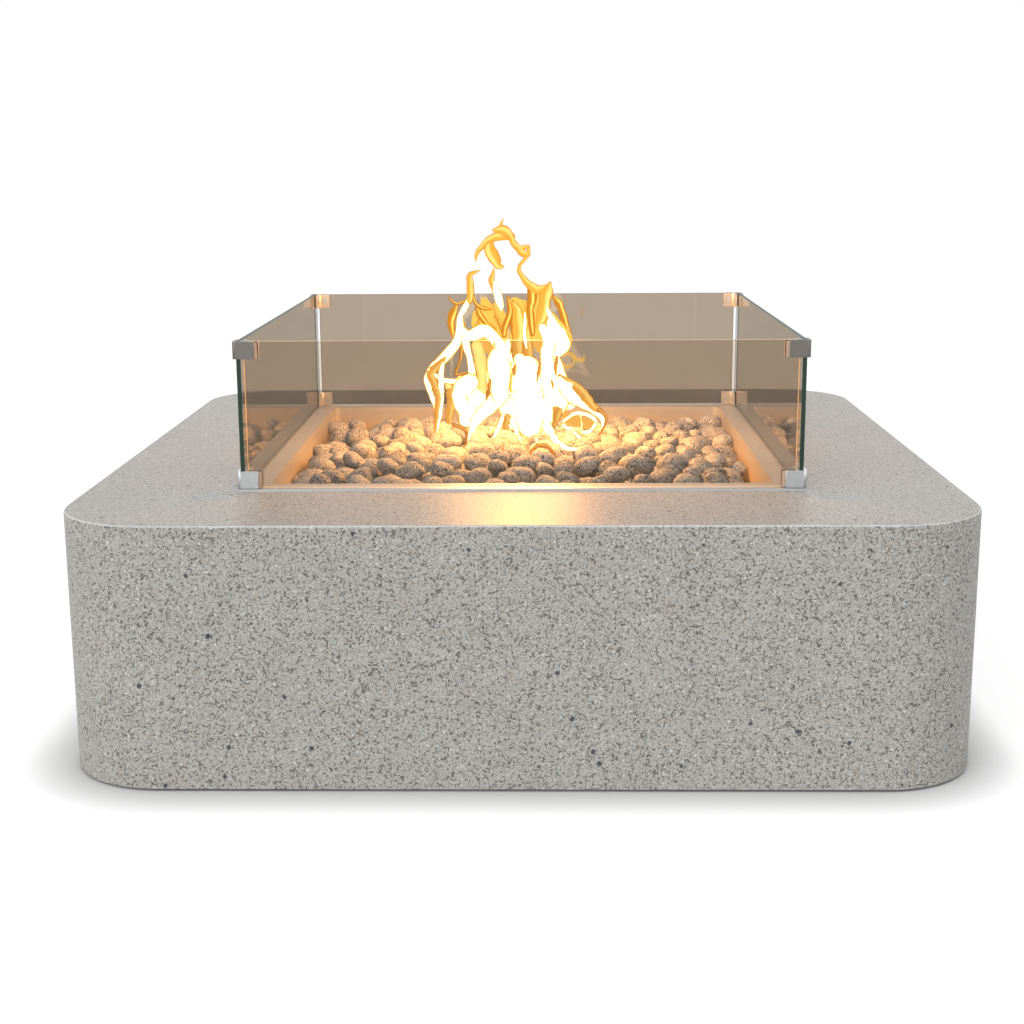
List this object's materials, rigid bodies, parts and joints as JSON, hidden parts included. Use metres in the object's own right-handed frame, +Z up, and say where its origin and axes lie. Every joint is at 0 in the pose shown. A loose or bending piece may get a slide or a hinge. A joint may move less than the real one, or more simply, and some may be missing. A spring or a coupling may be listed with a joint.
{
  "type": "gas fire pit table",
  "caption": "Low square gas fire pit table: cast stone body with rounded corners, steel burner pan filled with lava stones, and a lift-off glass wind guard.",
  "frame": {"origin": "middle of the box round the part, at the ground", "axes": "+Z up, -Y towards the front as pictured, +X to the right"},
  "size_m": [1.22, 1.22, 0.5645],
  "materials": {
    "stone": "fine grey terrazzo, honed",
    "black_rubber": "matt",
    "brushed_stainless": "brushed stainless sheet",
    "burner_steel": "heat-worn stainless tube",
    "pipe_steel": "plain steel",
    "zinc_steel": "zinc-plated",
    "brass": "machined",
    "hose_steel": "corrugated stainless",
    "chrome": "polished",
    "lava_rock": "tumbled, porous and matt",
    "tinted_glass": "polished tempered glass, light bronze-grey tint",
    "clamp_aluminium": "satin",
    "silicone": "clear silicone"
  },
  "bodies": {
    "base": {"stone_shell": "stone", "rubber_pads": "black_rubber", "burner_pan": "brushed_stainless", "burner_hub": "burner_steel", "burner_crossbar_left": "burner_steel", "burner_crossbar_right": "burner_steel", "burner_arm_left": "burner_steel", "burner_arm_right": "burner_steel", "burner_end_caps": "burner_steel", "gas_nipple": "pipe_steel", "nipple_washer": "zinc_steel", "nipple_lock_nut": "zinc_steel", "hose_adapter": "brass", "hose_nut_upper": "brass", "flex_hose": "hose_steel", "hose_nut_lower": "brass", "valve_body": "brass", "stem_gland": "brass", "bonnet_nut": "brass", "escutcheon": "chrome", "escutcheon_gasket": "black_rubber", "gas_inlet_fitting": "brass", "vent_left": "brushed_stainless", "vent_right": "brushed_stainless", "vent_screws": "zinc_steel", "lava_stones": "lava_rock"},
    "wind_guard": {"glass_front": "tinted_glass", "glass_back": "tinted_glass", "glass_left": "tinted_glass", "glass_right": "tinted_glass", "clamp_upper_front_left": "clamp_aluminium", "clamp_upper_front_right": "clamp_aluminium", "clamp_upper_back_left": "clamp_aluminium", "clamp_upper_back_right": "clamp_aluminium", "clamp_lower_front_left": "clamp_aluminium", "clamp_lower_front_right": "clamp_aluminium", "clamp_lower_back_left": "clamp_aluminium", "clamp_lower_back_right": "clamp_aluminium", "clamp_screws": "zinc_steel", "clamp_grips": "black_rubber", "clamp_liners": "silicone", "guard_feet": "silicone"},
    "valve_spindle": {"valve_ball": "chrome", "valve_stem": "pipe_steel"}
  },
  "joints": [
    {"name": "wind_guard_lift", "type": "slide", "parent": "base", "child": "wind_guard", "axis": [0, 0, 1], "range_m": [0, 0.25]},
    {"name": "valve_turn", "type": "hinge", "parent": "base", "child": "valve_spindle", "pos_m": [0, 0.533, 0.07], "axis": [0, 1, 0], "range_deg": [0, 90]}
  ]
}
